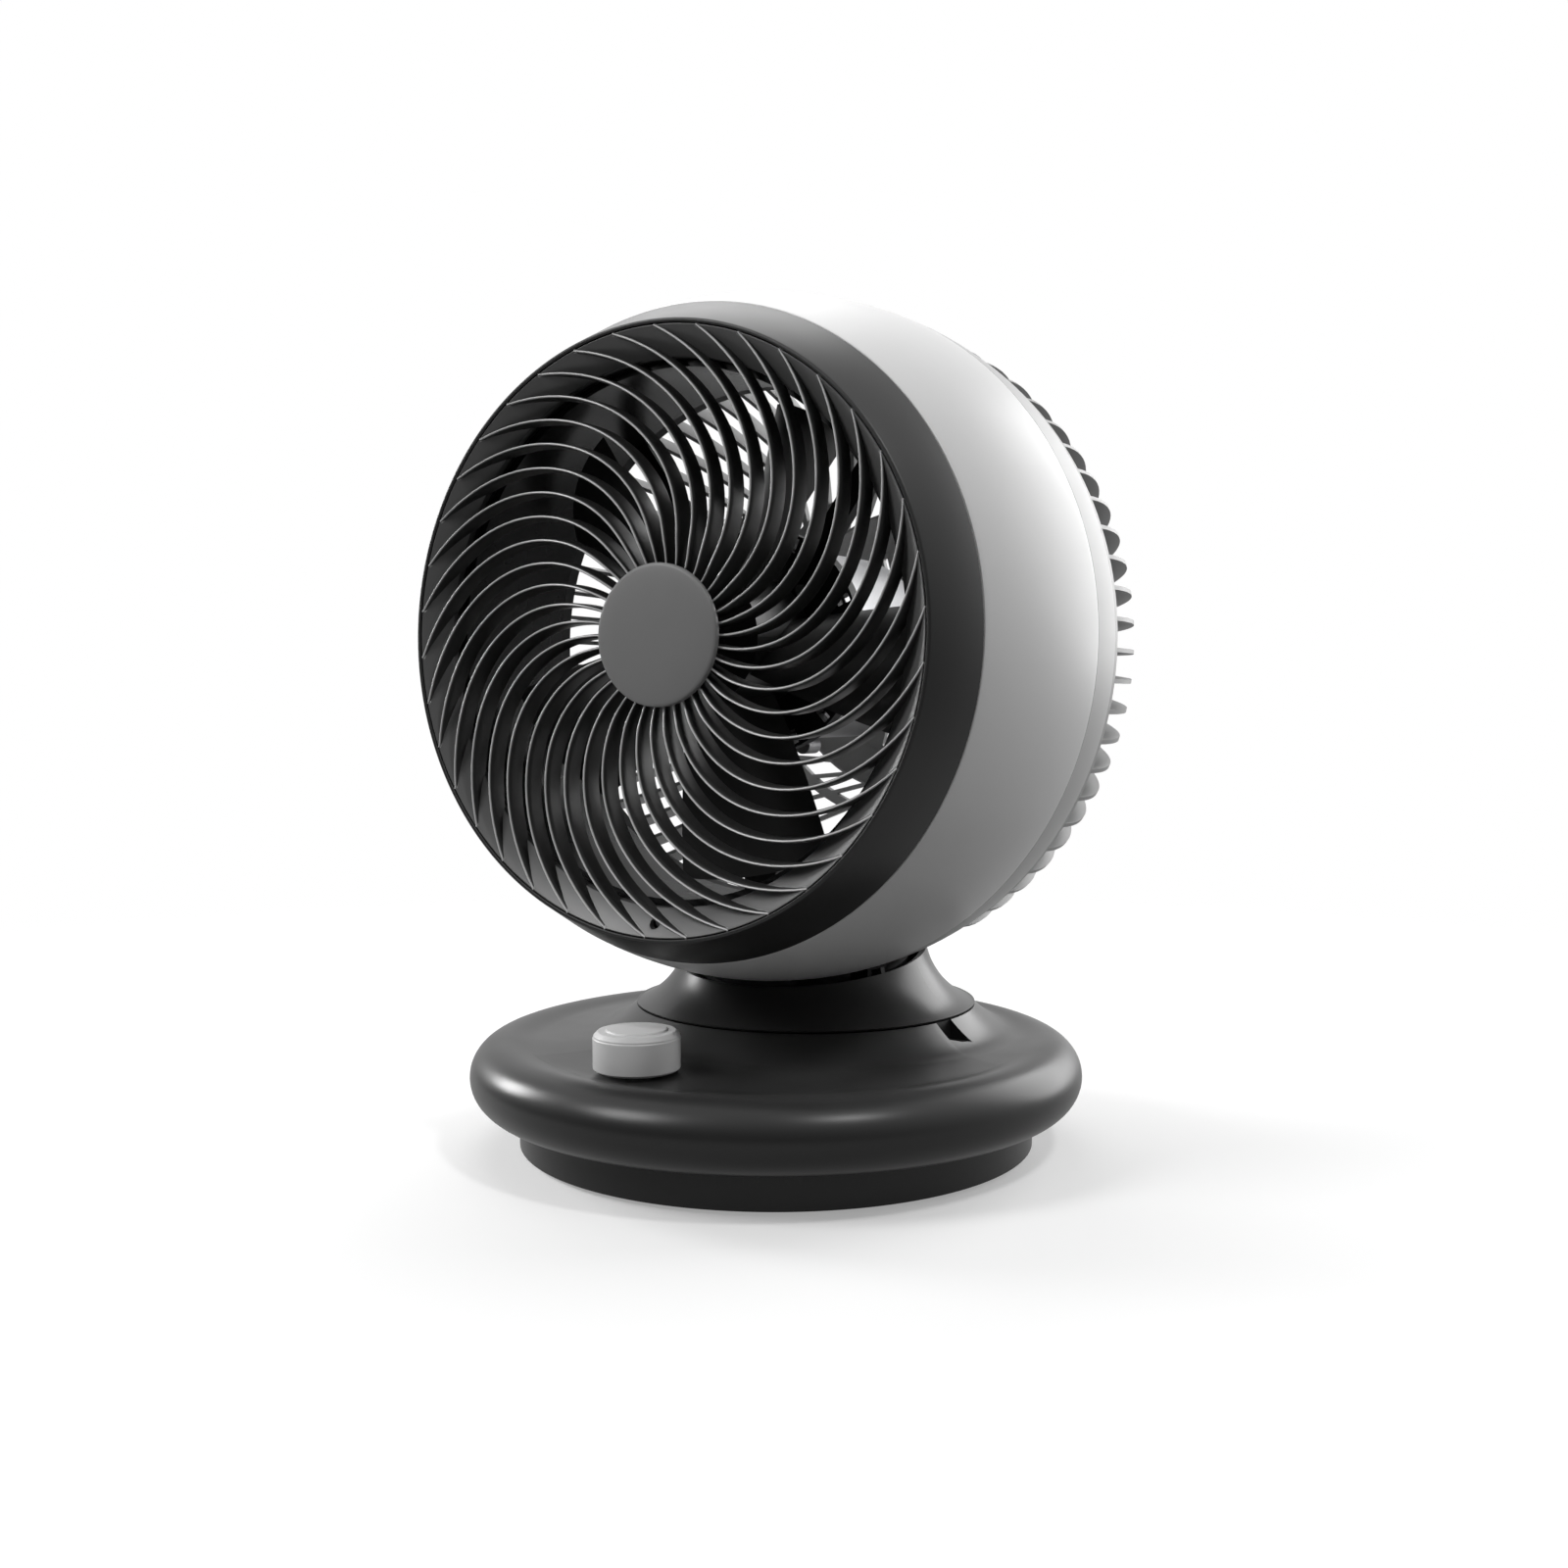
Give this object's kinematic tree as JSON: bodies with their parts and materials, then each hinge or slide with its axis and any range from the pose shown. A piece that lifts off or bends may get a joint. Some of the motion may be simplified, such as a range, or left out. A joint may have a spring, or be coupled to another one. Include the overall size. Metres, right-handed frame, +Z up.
{
  "type": "air circulator fan",
  "caption": "Table-top air circulator with a ball-shaped head and swirl-vane front grille that tilts in a cupped neck and swings on a round base with one speed knob.",
  "frame": {"origin": "on the ground under the centre of the round base", "axes": "+Z up, -Y the way the fan blows at rest, +X to the right of a viewer facing the front grille"},
  "size_m": [0.28, 0.254, 0.348],
  "materials": {
    "dark_plastic": "satin",
    "panel_gloss": "gloss",
    "rubber": "matte",
    "steel": "brushed",
    "cast_ballast": "rough cast",
    "board_green": "satin",
    "black_plastic": "matte",
    "steel_case": "plated",
    "slip_white": "satin",
    "white_plastic": "satin",
    "bezel_satin": "satin",
    "cap_grey": "satin",
    "duct_gloss": "gloss",
    "motor_alloy": "cast",
    "copper": "wound wire",
    "rear_grey": "satin",
    "blade_dark": "satin",
    "knob_grey": "satin"
  },
  "bodies": {
    "base": {"base_plinth": "dark_plastic", "base_top_shell": "dark_plastic", "control_panel": "panel_gloss", "rubber_feet": "rubber", "base_screws": "steel", "ballast_plate": "cast_ballast", "control_board": "board_green", "power_inlet": "black_plastic", "rotary_switch": "steel", "switch_nut": "steel", "swing_motor": "steel_case", "swing_motor_screws": "steel", "turntable_race": "slip_white"},
    "pinion": {"swing_pinion": "slip_white", "pinion_shaft": "steel"},
    "neck": {"turntable": "dark_plastic", "turntable_retainer": "black_plastic", "retainer_screws": "steel", "swing_gear": "slip_white", "neck_shell": "dark_plastic", "neck_screws": "steel", "tilt_saddle": "black_plastic", "saddle_pads": "rubber", "tilt_post": "black_plastic", "tilt_clamp": "slip_white", "tilt_screw": "steel"},
    "head": {"head_shell": "white_plastic", "front_bezel": "bezel_satin", "front_grille": "bezel_satin", "grille_cap": "cap_grey", "grille_screw": "steel", "duct_ring": "duct_gloss", "motor_mount": "black_plastic", "mount_screws": "steel", "motor_front_housing": "motor_alloy", "motor_rear_housing": "motor_alloy", "motor_screws": "steel", "motor_bearings": "steel", "motor_stator": "steel", "motor_windings": "copper", "rear_ring": "white_plastic", "rear_grille": "rear_grey", "rear_cap": "rear_grey", "tilt_rail": "black_plastic"},
    "fan": {"impeller": "blade_dark", "impeller_nut": "blade_dark", "motor_shaft": "steel", "motor_rotor": "steel"},
    "knob": {"speed_knob": "knob_grey", "knob_spindle": "steel"}
  },
  "joints": [
    {"name": "neck_swing", "type": "hinge", "parent": "base", "child": "neck", "pos_m": [0, 0.025, 0.045], "axis": [0, 0, 1], "range_deg": [-40, 40]},
    {"name": "pinion_spin", "type": "hinge", "parent": "base", "child": "pinion", "pos_m": [0, -0.029, 0.032], "axis": [0, 0, 1], "range_deg": [-200, 200]},
    {"name": "head_tilt", "type": "hinge", "parent": "neck", "child": "head", "pos_m": [0, 0.005, 0.208], "axis": [-1, 0, 0], "range_deg": [-5, 35]},
    {"name": "fan_spin", "type": "hinge", "parent": "head", "child": "fan", "pos_m": [0, 0.005, 0.208], "axis": [0, -1, 0], "continuous": true},
    {"name": "knob_turn", "type": "hinge", "parent": "base", "child": "knob", "pos_m": [-0.01, -0.086, 0.045], "axis": [0, 0, -1], "range_deg": [0, 120]}
  ],
  "couplings": [
    {"joint": "pinion_spin", "follows": "neck_swing", "ratio": -5}
  ]
}
